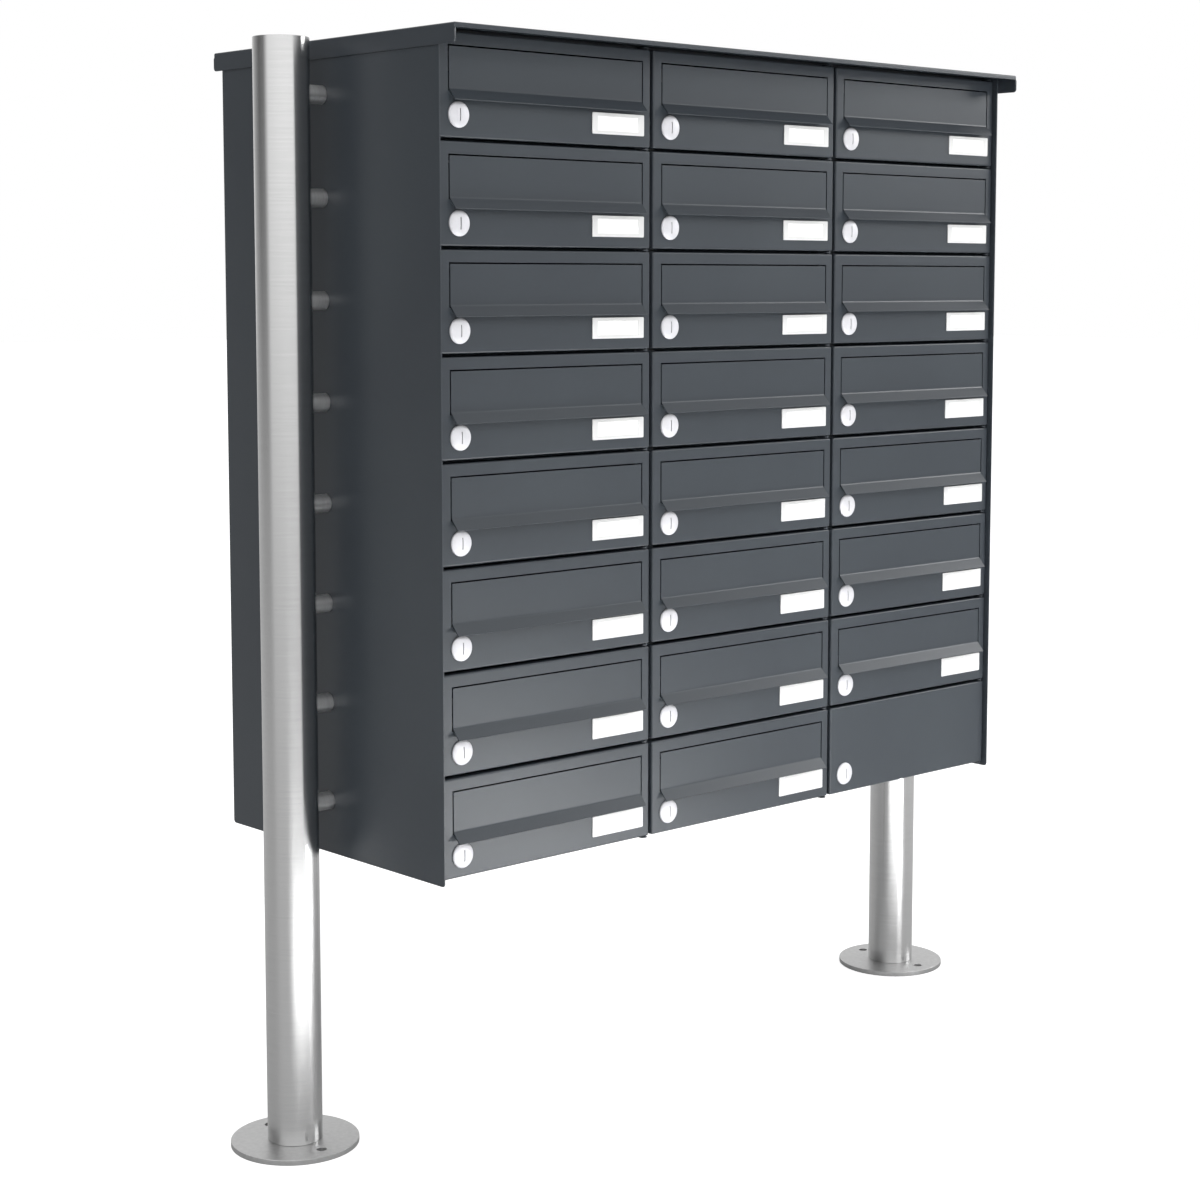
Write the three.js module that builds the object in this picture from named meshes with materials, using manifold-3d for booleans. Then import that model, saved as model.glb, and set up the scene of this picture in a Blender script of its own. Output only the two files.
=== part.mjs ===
// Free-standing letterbox stand: three columns of eight boxes hung between two round steel posts.
// Millimetres, +Z up. The doors face -Y. The origin is on the floor, under the middle of the roof.
import * as THREE from "three";
import { mergeVertices } from "three/addons/utils/BufferGeometryUtils.js";
import Module from "manifold-3d";

const wasm = await Module();
wasm.setup();

// ---- driving dimensions ----

// The grid of boxes. A cell is one box with its share of the gaps around it.
const COLUMN_NAMES = ["left", "middle", "right"];
const ROWS = 8;
const CELL_W = 300;
const CELL_H = 110;
const GRID_TOP = 1202; // top of row 1, above the floor
const GRID_W = COLUMN_NAMES.length * CELL_W;
const GRID_H = ROWS * CELL_H;

const SHEET = 1.2; // sheet of the boxes, doors and flaps
const CASE_SHEET = 1.5; // sheet of the side panels and the roof
const CLEAR = 0.3; // gap left between fixed pieces that touch

// The roof sets where the front of the doors is, because the origin is under its middle.
const ROOF_DEPTH = 437.2;
const ROOF_OVERHANG = 33.1; // in front of the doors
const ROOF_TOP = 1205.7;
const ROOF_FLANGE = 20.5; // drop of the side flanges
const ROOF_LIP = 5; // drop of the front and rear lips, which the doors swing out under
const ROOF_CORNER = 4;
const DOOR_FACE_Y = ROOF_OVERHANG - ROOF_DEPTH / 2;

// Side panels, in depth from the face of the doors.
const PANEL_INNER_X = 449.6;
const PANEL_FRONT = -5.3;
const PANEL_REAR = 389.7;
const PANEL_BOTTOM = 318.1;
const PANEL_CORNER = 4;

// Box columns.
const CARCASS_INSET = 2.7; // from the edge of the cell
const CARCASS_FRONT = 12;
const CARCASS_REAR = 389;
const FRONT_RETURN = 12; // flange at each side of a mouth, which a lock cam closes on
const HINGE_TAB_X = 289;
const HINGE_TAB_END_X = 297.2;
const HINGE_TAB_Y = 1;

// Doors: shallow pans with their open side to the rear.
const DOOR_SIDE_GAP = 2.35;
const DOOR_END_GAP = 1.75;
const DOOR_DEPTH = 10;
const DOOR_AXIS = { x: 294.65, y: 3 };
const DOOR_PIN_R = 1.25;
const DOOR_PIN_HOLE_R = 1.7;
const DOOR_PIN_REACH = 5.5; // from the middle of the gap between two doors

// The mail slot in a door, and the flap that covers it. Heights are below the top of the cell.
const SLOT = { left: 14.6, right: 286.6, top: 14.7, bottom: 61.5 };
const FLAP = { left: 16.2, right: 285, top: 16.3, bend: 59 };
const FLAP_LIP = { out: 10, down: 11 };
const FLAP_AXIS = { y: 3, z: -19.5 };
const FLAP_BARREL_R = 2.4;

// The lock: a domed cap, a barrel through the door and a cam behind it.
const LOCK = { x: 27.5, z: -85 };
const LOCK_CAP_R = 13.4;
const LOCK_CAP_H = 3.8;
const LOCK_BARREL_R = 9.5;
const LOCK_HOLE_R = 9.8;
const KEY_SLOT = { width: 1.4, height: 13, depth: 1.6 };
const CAM = { y: 15.5, thick: 2, reach: 22, half: 5 };

// Posts, base plates and the studs between a post and its side panel.
const POST_X = 502.3;
const POST_DEPTH = 198.3; // from the face of the doors
const POST_R = 30.15;
const POST_WALL = 2;
const POST_TOP = 1204.4;
const PLATE_R = 70.5;
const PLATE_T = 6;
const ANCHOR_HOLE_R = 5.5;
const ANCHOR_OFFSET = 50;
const STUD_R = 10;
const RAIL_T = 1.7;
const RAIL_HALF_W = 15;
const RAIL_END = 25; // past the middle of the outermost studs

const ROUND_STEPS = 40; // sides of a post
const SMALL_STEPS = 16; // sides of a stud, lock or anchor hole
const DOME_STEPS = 4; // rings of a lock cap
const PIN_STEPS = 8;

// ---- finishes ----

const powderCoat = () =>
  new THREE.MeshStandardMaterial({ color: 0x3b4044, roughness: 0.45, metalness: 0.1 });
const brushedSteel = () =>
  new THREE.MeshStandardMaterial({ color: 0xb9bbbd, roughness: 0.3, metalness: 1 });
const satinSteel = () =>
  new THREE.MeshStandardMaterial({ color: 0xa8aaac, roughness: 0.5, metalness: 0.9 });
const lockFinish = () =>
  new THREE.MeshStandardMaterial({ color: 0xe4e4e6, roughness: 0.35, metalness: 0.4 });

// ---- solids ----

// A closed three.js geometry as a solid, with its faces out.
function solid(geometry) {
  const bare = geometry.clone();
  bare.deleteAttribute("normal");
  bare.deleteAttribute("uv");
  const merged = mergeVertices(bare, 1e-4);
  const triVerts = new Uint32Array(merged.index.array);
  const vertProperties = new Float32Array(merged.attributes.position.array);
  return new wasm.Manifold(new wasm.Mesh({ numProp: 3, vertProperties, triVerts }));
}

function meshOf(name, body, material) {
  const data = body.getMesh();
  const geometry = new THREE.BufferGeometry();
  geometry.setAttribute("position", new THREE.BufferAttribute(data.vertProperties, 3));
  geometry.setIndex(new THREE.BufferAttribute(data.triVerts, 1));
  geometry.computeVertexNormals();
  const mesh = new THREE.Mesh(geometry, material);
  mesh.name = name;
  return mesh;
}

// A box from its lowest to its highest corner.
function block(low, high) {
  const size = high.map((value, i) => value - low[i]);
  const box = new THREE.BoxGeometry(...size);
  box.translate(...high.map((value, i) => (value + low[i]) / 2));
  return solid(box);
}

// A cylinder along x, y or z, from start to end on that axis, around the point `at`.
function rod(axis, radius, start, end, at, steps) {
  const cylinder = new THREE.CylinderGeometry(radius, radius, end - start, steps);
  if (axis === "x") cylinder.rotateZ(-Math.PI / 2);
  if (axis === "z") cylinder.rotateX(Math.PI / 2);
  const middle = new THREE.Vector3(...at);
  middle[axis] = (start + end) / 2;
  cylinder.translate(middle.x, middle.y, middle.z);
  return solid(cylinder);
}

// A profile drawn in depth (Y) and height (Z), extruded along X from start to end.
function extrudeAcross(shape, start, end, curveSegments = 4) {
  const geometry = new THREE.ExtrudeGeometry(shape, {
    depth: end - start,
    bevelEnabled: false,
    curveSegments,
  });
  const depthHeightAcross = new THREE.Matrix4().makeBasis(
    new THREE.Vector3(0, 1, 0),
    new THREE.Vector3(0, 0, 1),
    new THREE.Vector3(1, 0, 0),
  );
  geometry.applyMatrix4(depthHeightAcross);
  geometry.translate(start, 0, 0);
  return geometry;
}

function roundedRectangle(low, high, radius) {
  const shape = new THREE.Shape();
  const quarter = Math.PI / 2;
  shape.absarc(low[0] + radius, low[1] + radius, radius, 2 * quarter, 3 * quarter);
  shape.absarc(high[0] - radius, low[1] + radius, radius, 3 * quarter, 4 * quarter);
  shape.absarc(high[0] - radius, high[1] - radius, radius, 0, quarter);
  shape.absarc(low[0] + radius, high[1] - radius, radius, quarter, 2 * quarter);
  return shape;
}

const studHeights = Array.from({ length: ROWS }, (_, row) => GRID_TOP - (row + 0.5) * CELL_H);

// ---- posts and what fixes them ----

// A tube with its end cap welded on and ground flush, open at the foot.
function post() {
  const foot = PLATE_T + CLEAR;
  const chamfer = 0.8;
  const inner = POST_R - POST_WALL;
  const profile = [
    [0, POST_TOP - 3],
    [inner, POST_TOP - 3],
    [inner, foot],
    [POST_R, foot],
    [POST_R, POST_TOP - chamfer],
    [POST_R - chamfer, POST_TOP],
    [0, POST_TOP],
  ].map(([radius, height]) => new THREE.Vector2(radius, height));
  const lathe = new THREE.LatheGeometry(profile, ROUND_STEPS);
  lathe.rotateX(Math.PI / 2);
  return solid(lathe);
}

// A round plate that the post is welded to, with two holes for floor anchors.
function basePlate() {
  const disc = new THREE.Shape();
  disc.absarc(0, 0, PLATE_R, 0, 2 * Math.PI);
  const plate = new THREE.ExtrudeGeometry(disc, {
    depth: PLATE_T,
    bevelEnabled: false,
    curveSegments: ROUND_STEPS / 2,
  });
  return [-ANCHOR_OFFSET, ANCHOR_OFFSET].reduce(
    (body, y) => body.subtract(rod("z", ANCHOR_HOLE_R, -1, PLATE_T + 1, [0, y, 0], SMALL_STEPS)),
    solid(plate),
  );
}

// Eight studs welded to a flat rail that lies behind the side panel. In the frame of the post,
// with the boxes towards -X.
function standoffs() {
  const railOuter = PANEL_INNER_X - CLEAR - POST_X;
  const low = Math.min(...studHeights) - RAIL_END;
  const high = Math.max(...studHeights) + RAIL_END;
  const rail = block([railOuter - RAIL_T, -RAIL_HALF_W, low], [railOuter, RAIL_HALF_W, high]);
  const saddle = rod("z", POST_R + CLEAR, low, high, [0, 0, 0], ROUND_STEPS);
  return studHeights
    .reduce(
      (body, z) => body.add(rod("x", STUD_R, railOuter - 1, STUD_R - POST_R, [0, 0, z], SMALL_STEPS)),
      rail,
    )
    .subtract(saddle);
}

// ---- casing ----

// A flat panel with a hole for each stud. `start` is its lower X face.
function sidePanel(start) {
  const low = [PANEL_FRONT, PANEL_BOTTOM];
  const high = [PANEL_REAR, ROOF_TOP - CASE_SHEET - CLEAR];
  const shape = roundedRectangle(low, high, PANEL_CORNER);
  const end = start + CASE_SHEET;
  return studHeights.reduce(
    (body, z) =>
      body.subtract(
        rod("x", STUD_R + CLEAR, start - 1, end + 1, [0, POST_DEPTH, z], SMALL_STEPS),
      ),
    solid(extrudeAcross(shape, start, end)),
  );
}

// A cap folded from one sheet: deep side flanges and shallow lips at the front and rear.
function roof() {
  const innerX = PANEL_INNER_X + CASE_SHEET + CLEAR;
  const outerX = innerX + CASE_SHEET;
  const front = -ROOF_OVERHANG;
  const rear = ROOF_DEPTH - ROOF_OVERHANG;
  const bottom = ROOF_TOP - ROOF_FLANGE;
  const shape = roundedRectangle([front, bottom], [rear, ROOF_TOP + ROOF_CORNER], ROOF_CORNER);
  const below = bottom - 1;
  const lipBottom = ROOF_TOP - ROOF_LIP;
  return solid(extrudeAcross(shape, -outerX, outerX))
    .subtract(block([-outerX - 1, front - 1, ROOF_TOP], [outerX + 1, rear + 1, ROOF_TOP + 10]))
    .subtract(
      block(
        [-innerX, front + CASE_SHEET, below],
        [innerX, rear - CASE_SHEET, ROOF_TOP - CASE_SHEET],
      ),
    )
    .subtract(block([-innerX, front - 1, below], [innerX, rear + 1, lipBottom]));
}

// ---- boxes, in the frame of a cell: x from its left edge, y into the depth, z down from its top ----

// The hollow of one box and its mouth between the front flanges.
function compartment(row) {
  const top = -row * CELL_H - SHEET / 2;
  const bottom = -(row + 1) * CELL_H + SHEET / 2;
  const left = CARCASS_INSET + SHEET;
  const right = CELL_W - left;
  const hollow = block(
    [left, CARCASS_FRONT + SHEET, bottom],
    [right, CARCASS_REAR - SHEET, top],
  );
  const mouth = block(
    [left + FRONT_RETURN, CARCASS_FRONT - 1, bottom],
    [right - FRONT_RETURN, CARCASS_FRONT + SHEET + 1, top],
  );
  return hollow.add(mouth);
}

// A tab of the shelf sheet that reaches between two doors, with the pins they turn on.
function hingeTab(row) {
  const z = -row * CELL_H;
  const up = row > 0 ? DOOR_PIN_REACH : SHEET / 2;
  const down = row < ROWS ? DOOR_PIN_REACH : SHEET / 2;
  const tab = block(
    [HINGE_TAB_X, HINGE_TAB_Y, z - SHEET / 2],
    [HINGE_TAB_END_X, CARCASS_FRONT + SHEET / 2, z + SHEET / 2],
  );
  const pin = rod("z", DOOR_PIN_R, z - down, z + up, [DOOR_AXIS.x, DOOR_AXIS.y, 0], PIN_STEPS);
  return tab.add(pin);
}

// The front edge of the top sheet, turned up to close the gap under the roof.
function frontUpstand() {
  return block(
    [CARCASS_INSET, CARCASS_FRONT, -SHEET / 2],
    [CELL_W - CARCASS_INSET, CARCASS_FRONT + SHEET, ROOF_TOP - CASE_SHEET - CLEAR - GRID_TOP],
  );
}

function carcass() {
  let body = block(
    [CARCASS_INSET, CARCASS_FRONT, -GRID_H - SHEET / 2],
    [CELL_W - CARCASS_INSET, CARCASS_REAR, SHEET / 2],
  );
  for (let row = 0; row < ROWS; row += 1) body = body.subtract(compartment(row));
  for (let row = 0; row <= ROWS; row += 1) body = body.add(hingeTab(row));
  return body.add(frontUpstand());
}

// A pan with holes in its ends for the hinge pins.
function doorPan() {
  const low = [DOOR_SIDE_GAP, 0, DOOR_END_GAP - CELL_H];
  const high = [CELL_W - DOOR_SIDE_GAP, DOOR_DEPTH, -DOOR_END_GAP];
  const inside = block(
    [low[0] + SHEET, SHEET, low[2] + SHEET],
    [high[0] - SHEET, DOOR_DEPTH + 1, high[2] - SHEET],
  );
  const hingeAt = [DOOR_AXIS.x, DOOR_AXIS.y, 0];
  const pinHole = (middle) =>
    rod("z", DOOR_PIN_HOLE_R, middle - SHEET, middle + SHEET, hingeAt, PIN_STEPS);
  return block(low, high)
    .subtract(inside)
    .subtract(pinHole(low[2] + SHEET / 2))
    .subtract(pinHole(high[2] - SHEET / 2));
}

// The service door has a hole for a lock that turns in it.
function serviceDoor() {
  return doorPan().subtract(
    rod("y", LOCK_HOLE_R, -1, SHEET + 1, [LOCK.x, 0, LOCK.z], SMALL_STEPS),
  );
}

// A letterbox door has a mail slot, and its lock is part of it.
function letterboxDoor() {
  const slot = block([SLOT.left, -1, -SLOT.bottom], [SLOT.right, SHEET + 1, -SLOT.top]);
  return doorPan().subtract(slot).add(lock(LOCK, SMALL_STEPS / 2, DOME_STEPS / 2));
}

// A plate that lies flush in the slot, with a lip turned out at its foot and a barrel at its head.
function flap() {
  const lipLength = Math.hypot(FLAP_LIP.out, FLAP_LIP.down);
  const across = {
    y: (FLAP_LIP.down / lipLength) * SHEET,
    z: (-FLAP_LIP.out / lipLength) * SHEET,
  };
  const lipEnd = { y: -FLAP_LIP.out, z: -FLAP.bend - FLAP_LIP.down };
  const bendBack = -FLAP.bend + across.z + ((SHEET - across.y) * FLAP_LIP.down) / FLAP_LIP.out;
  const barrelCut = Math.acos((SHEET - FLAP_AXIS.y) / FLAP_BARREL_R);
  const shape = new THREE.Shape();
  shape.moveTo(0, -FLAP.top);
  shape.lineTo(0, -FLAP.bend);
  shape.lineTo(lipEnd.y, lipEnd.z);
  shape.lineTo(lipEnd.y + across.y, lipEnd.z + across.z);
  shape.lineTo(SHEET, bendBack);
  shape.absarc(FLAP_AXIS.y, FLAP_AXIS.z, FLAP_BARREL_R, -barrelCut, barrelCut);
  shape.lineTo(SHEET, -FLAP.top);
  return solid(extrudeAcross(shape, FLAP.left, FLAP.right));
}

// Cap, barrel and cam as one assembly, with the cam hanging down clear of the front flange.
// `at` is its place on the face of the door.
function lock(at, steps, domeSteps) {
  const capBack = -CLEAR;
  const shoulder = 0.8;
  const profile = [[0, capBack], [LOCK_CAP_R, capBack], [LOCK_CAP_R, capBack - shoulder]];
  for (let step = 1; step <= domeSteps; step += 1) {
    const turn = (step / domeSteps) * (Math.PI / 2);
    const rise = (LOCK_CAP_H - CLEAR - shoulder) * Math.sin(turn);
    profile.push([LOCK_CAP_R * Math.cos(turn), capBack - shoulder - rise]);
  }
  profile[profile.length - 1][0] = 0;
  const cap = new THREE.LatheGeometry(
    profile.map(([radius, y]) => new THREE.Vector2(radius, y)).reverse(),
    2 * steps,
  );
  cap.translate(at.x, 0, at.z);
  const slotTop = at.z + KEY_SLOT.height / 2;
  const slot = block(
    [at.x - KEY_SLOT.width / 2, -LOCK_CAP_H - 1, slotTop - KEY_SLOT.height],
    [at.x + KEY_SLOT.width / 2, -LOCK_CAP_H + KEY_SLOT.depth, slotTop],
  );
  const cam = block(
    [at.x - CAM.half, CAM.y - 0.5, at.z - CAM.reach],
    [at.x + CAM.half, CAM.y + CAM.thick, at.z + CAM.half],
  );
  const barrel = rod("y", LOCK_BARREL_R, capBack - shoulder, CAM.y, [at.x, 0, at.z], 2 * steps);
  return solid(cap).add(barrel).subtract(slot).add(cam);
}

// ---- assembly ----

const stand = new THREE.Group();

// Each side is built with its boxes towards -X, so the left side is turned half round.
for (const [name, x, turn] of [
  ["left", -POST_X, Math.PI],
  ["right", POST_X, 0],
]) {
  const side = new THREE.Group();
  side.position.set(x, DOOR_FACE_Y + POST_DEPTH, 0);
  side.rotation.z = turn;
  side.add(meshOf(`${name}_post`, post(), brushedSteel()));
  side.add(meshOf(`${name}_base_plate`, basePlate(), satinSteel()));
  side.add(meshOf(`${name}_standoffs`, standoffs(), brushedSteel()));
  stand.add(side);
}

const casing = new THREE.Group();
casing.position.y = DOOR_FACE_Y;
casing.add(meshOf("left_side_panel", sidePanel(-PANEL_INNER_X - CASE_SHEET), powderCoat()));
casing.add(meshOf("right_side_panel", sidePanel(PANEL_INNER_X), powderCoat()));
casing.add(meshOf("roof", roof(), powderCoat()));
stand.add(casing);

const lastColumn = COLUMN_NAMES.length - 1;
COLUMN_NAMES.forEach((columnName, column) => {
  const boxes = new THREE.Group();
  boxes.position.set(column * CELL_W - GRID_W / 2, DOOR_FACE_Y, GRID_TOP);
  boxes.add(meshOf(`${columnName}_carcass`, carcass(), powderCoat()));
  for (let row = 0; row < ROWS; row += 1) {
    const cell = new THREE.Group();
    cell.position.z = -row * CELL_H;
    if (column === lastColumn && row === ROWS - 1) {
      cell.add(meshOf("service_door", serviceDoor(), powderCoat()));
      cell.add(meshOf("service_lock", lock(LOCK, SMALL_STEPS, DOME_STEPS), lockFinish()));
    } else {
      cell.add(meshOf(`door_${columnName}_${row + 1}`, letterboxDoor(), powderCoat()));
      cell.add(meshOf(`flap_${columnName}_${row + 1}`, flap(), powderCoat()));
    }
    boxes.add(cell);
  }
  stand.add(boxes);
});

export default stand;
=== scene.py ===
import math
from contextlib import contextmanager

import bmesh
import bpy
from mathutils import Matrix, Vector


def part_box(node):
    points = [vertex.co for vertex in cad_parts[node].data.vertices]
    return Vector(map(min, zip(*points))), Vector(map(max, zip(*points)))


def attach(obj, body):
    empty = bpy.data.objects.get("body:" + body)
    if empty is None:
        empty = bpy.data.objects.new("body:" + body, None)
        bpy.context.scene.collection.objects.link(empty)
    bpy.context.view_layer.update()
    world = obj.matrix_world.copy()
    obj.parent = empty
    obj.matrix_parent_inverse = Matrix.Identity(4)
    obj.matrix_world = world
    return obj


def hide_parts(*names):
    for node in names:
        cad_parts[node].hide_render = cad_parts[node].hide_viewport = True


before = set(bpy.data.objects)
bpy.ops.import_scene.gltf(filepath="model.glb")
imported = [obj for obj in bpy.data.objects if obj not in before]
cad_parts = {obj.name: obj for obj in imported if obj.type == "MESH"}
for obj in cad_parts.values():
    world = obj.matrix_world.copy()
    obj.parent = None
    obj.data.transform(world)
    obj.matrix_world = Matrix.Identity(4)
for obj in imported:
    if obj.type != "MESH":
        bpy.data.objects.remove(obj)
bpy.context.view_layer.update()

# ---- sizes, in metres ----

MM = 0.001
QUARTER = math.pi / 2

SIDES = ("left", "right")
COLUMNS = ("left", "middle", "right")
ROWS = 8
SERVICE_DOOR = "service_door"
SERVICE_LOCK = "service_lock"

SHEET = 1.2 * MM  # doors and flaps
BOX_SHEET = 1.0 * MM
CASE_SHEET = 1.5 * MM  # roof and side panels
DOOR_BEND = 2.0 * MM  # outer radius of a door's folded edges
ROOF_BEND = 1.8 * MM
BOX_BEND = 1.4 * MM
BURR = 0.22 * MM  # softened cut edges of sheet
HAIR = 0.02 * MM  # a gap too fine to see, which keeps two pieces from sharing a face
SAME = 0.02 * MM  # measures closer than this count as equal

# Places in a cell, from its top left corner at the face of the doors.
DOOR_SIDE_GAP = 2.35 * MM
DOOR_END_GAP = 1.75 * MM
SLOT_LEFT, SLOT_RIGHT = 14.6 * MM, 286.6 * MM
SLOT_TOP, SLOT_BOTTOM = 14.7 * MM, 61.5 * MM
FLAP_PLATE_H = 42.7 * MM
FLAP_LIP = Vector((0, -10 * MM, -11 * MM))
FLAP_BEND = 1.3 * MM
FLAP_AXIS_Y, FLAP_AXIS_Z = 3 * MM, -19.5 * MM
DOOR_AXIS_X, DOOR_AXIS_Y = 294.65 * MM, 3 * MM
LOCK_X, LOCK_Z = 27.5 * MM, -85 * MM
NAME_LEFT, NAME_RIGHT = 211.3 * MM, 287.3 * MM
NAME_TOP, NAME_BOTTOM = 73.4 * MM, 96.2 * MM
NAME_PROUD = 1.2 * MM
LABEL_SIDE, LABEL_END = 7.8 * MM, 3.4 * MM  # width of the frame beside and above the label

STUD_R = 10 * MM
CORNER_R = 4 * MM  # rounded corners of the side panels and of the roof's flanges

# ---- modelling tools ----


def deselect():
    """Leaves nothing selected, so that an operator acts only on what is picked next."""
    bpy.ops.object.select_all(action="DESELECT")


def make_active(piece):
    """Selects one piece and nothing else."""
    deselect()
    piece.select_set(True)
    bpy.context.view_layer.objects.active = piece


def named(name):
    """Names the primitive that was just added."""
    piece = bpy.context.active_object
    piece.name = name
    piece.data.name = name
    return piece


def settle(piece):
    """Applies the place, turn and scale to the mesh, so that the object sits at the origin."""
    make_active(piece)
    bpy.ops.object.transform_apply(location=True, rotation=True, scale=True)


@contextmanager
def editing(piece):
    """Opens a piece in edit mode and closes it again."""
    make_active(piece)
    bpy.ops.object.mode_set(mode="EDIT")
    yield
    bpy.ops.object.mode_set(mode="OBJECT")


def middle(part):
    """The middle of a vertex, edge or face."""
    if isinstance(part, bmesh.types.BMVert):
        return part.co.copy()
    return sum((corner.co for corner in part.verts), Vector()) / len(part.verts)


def pick(piece, kind, test):
    """In edit mode, selects the parts of one kind that pass the test, and nothing else."""
    shell = bmesh.from_edit_mesh(piece.data)
    bpy.context.tool_settings.mesh_select_mode = [kind == each for each in ("VERT", "EDGE", "FACE")]
    shell.select_mode = {kind}
    for part in [*shell.verts, *shell.edges, *shell.faces]:
        part.select_set(False)
    parts = {"VERT": shell.verts, "EDGE": shell.edges, "FACE": shell.faces}[kind]
    for part in [found for found in parts if test(found)]:
        part.select_set(True)
    shell.select_flush_mode()
    bmesh.update_edit_mesh(piece.data)


def near(a, b, reach=SAME):
    """True for two measures that are the same but for rounding."""
    return abs(a - b) < reach


def runs_along(edge, axis):
    """True for an edge of a box that runs along the named axis."""
    first, second = (getattr(corner.co, axis) for corner in edge.verts)
    return not near(first, second)


def cut(piece, point, normal):
    """In edit mode, cuts the whole mesh along a plane."""
    bpy.ops.mesh.select_all(action="SELECT")
    bpy.ops.mesh.bisect(plane_co=point, plane_no=normal)


def pull(move):
    """In edit mode, extrudes the selection by a move."""
    bpy.ops.mesh.extrude_region_move(TRANSFORM_OT_translate={"value": move})


def face_out(piece):
    """Merges the doubles and turns every face outwards."""
    with editing(piece):
        bpy.ops.mesh.select_all(action="SELECT")
        bpy.ops.mesh.remove_doubles(threshold=0.001 * MM)
        bpy.ops.mesh.normals_make_consistent(inside=False)


def apply_modifier(piece, kind, **settings):
    """Adds one modifier and applies it."""
    make_active(piece)
    modifier = piece.modifiers.new(kind.title(), kind)
    for key, value in settings.items():
        setattr(modifier, key, value)
    bpy.ops.object.modifier_apply(modifier=modifier.name)


def thicken(piece, thickness):
    """Gives an open shell its sheet thickness, on the inside."""
    apply_modifier(piece, "SOLIDIFY", thickness=thickness, offset=-1, use_even_offset=True)


def soften(piece, width=BURR, segments=2, angle=40):
    """Rounds the sharp edges and keeps the flat faces flat."""
    apply_modifier(
        piece,
        "BEVEL",
        width=width,
        segments=segments,
        limit_method="ANGLE",
        angle_limit=math.radians(angle),
        use_clamp_overlap=True,
    )
    smooth(piece)


def smooth(piece, angle=35):
    """Shades the curved faces smooth and keeps the edges past the angle sharp."""
    make_active(piece)
    bpy.ops.object.shade_smooth_by_angle(angle=math.radians(angle))
    apply_modifier(piece, "WEIGHTED_NORMAL", keep_sharp=True)


def drill(piece, cutters):
    """Cuts away the cutters, which are used up."""
    cutter = join(cutters, "drill")
    apply_modifier(piece, "BOOLEAN", operation="DIFFERENCE", solver="EXACT", object=cutter)
    bpy.data.objects.remove(cutter)


def join(pieces, name):
    """Makes one piece of several, without merging their meshes."""
    make_active(pieces[0])
    for piece in pieces:
        piece.select_set(True)
    if len(pieces) > 1:
        bpy.ops.object.join()
    return named(name)


def block(name, low, high):
    """A box between two corners."""
    deselect()
    bpy.ops.mesh.primitive_cube_add(size=1, location=(Vector(low) + Vector(high)) / 2)
    piece = named(name)
    piece.scale = Vector(high) - Vector(low)
    settle(piece)
    return piece


def rod(name, start, end, radius, sides=32):
    """A cylinder between two points on a line along X, Y or Z."""
    start, end = Vector(start), Vector(end)
    along = end - start
    deselect()
    bpy.ops.mesh.primitive_cylinder_add(
        vertices=sides,
        radius=radius,
        depth=along.length,
        location=(start + end) / 2,
        rotation=along.to_track_quat("Z", "Y").to_euler(),
    )
    piece = named(name)
    settle(piece)
    return piece


def upright_sheet(name, low, high):
    """A flat face in the front plane of a box between two corners, facing -Y."""
    deselect()
    centre = ((low.x + high.x) / 2, low.y, (low.z + high.z) / 2)
    bpy.ops.mesh.primitive_plane_add(size=1, location=centre, rotation=(QUARTER, 0, 0))
    piece = named(name)
    piece.scale = (high.x - low.x, high.z - low.z, 1)
    settle(piece)
    return piece


def copy_piece(master, name, move):
    """A copy with its own mesh, moved inside the mesh so that its object stays at the origin."""
    copy = master.copy()
    copy.data = master.data.copy()
    copy.name = name
    copy.data.name = name
    copy.data.transform(Matrix.Translation(move))
    bpy.context.scene.collection.objects.link(copy)
    return copy


# ---- node groups shared by the finishes ----


def new_group(name, inputs, outputs):
    """An empty shader node group with named sockets, and its two end nodes."""
    group = bpy.data.node_groups.new(name, "ShaderNodeTree")
    for label, kind, value in inputs:
        socket = group.interface.new_socket(label, in_out="INPUT", socket_type=kind)
        if value is not None:
            socket.default_value = value
    for label, kind in outputs:
        group.interface.new_socket(label, in_out="OUTPUT", socket_type=kind)
    start = group.nodes.new("NodeGroupInput")
    end = group.nodes.new("NodeGroupOutput")
    return group, start, end


def add(tree, kind, **values):
    """Adds a node. A key that names an input sets that socket; any other sets a property."""
    node = tree.nodes.new(kind)
    for key, value in values.items():
        label = key.replace("_", " ")
        if label in node.inputs:
            node.inputs[label].default_value = value
        else:
            setattr(node, key, value)
    return node


def maths(tree, operation, first, second):
    """A Math node. Each operand is a socket or a number."""
    node = tree.nodes.new("ShaderNodeMath")
    node.operation = operation
    for socket, value in zip(node.inputs, (first, second)):
        if isinstance(value, (int, float)):
            socket.default_value = value
        else:
            tree.links.new(value, socket)
    return node.outputs[0]


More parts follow.
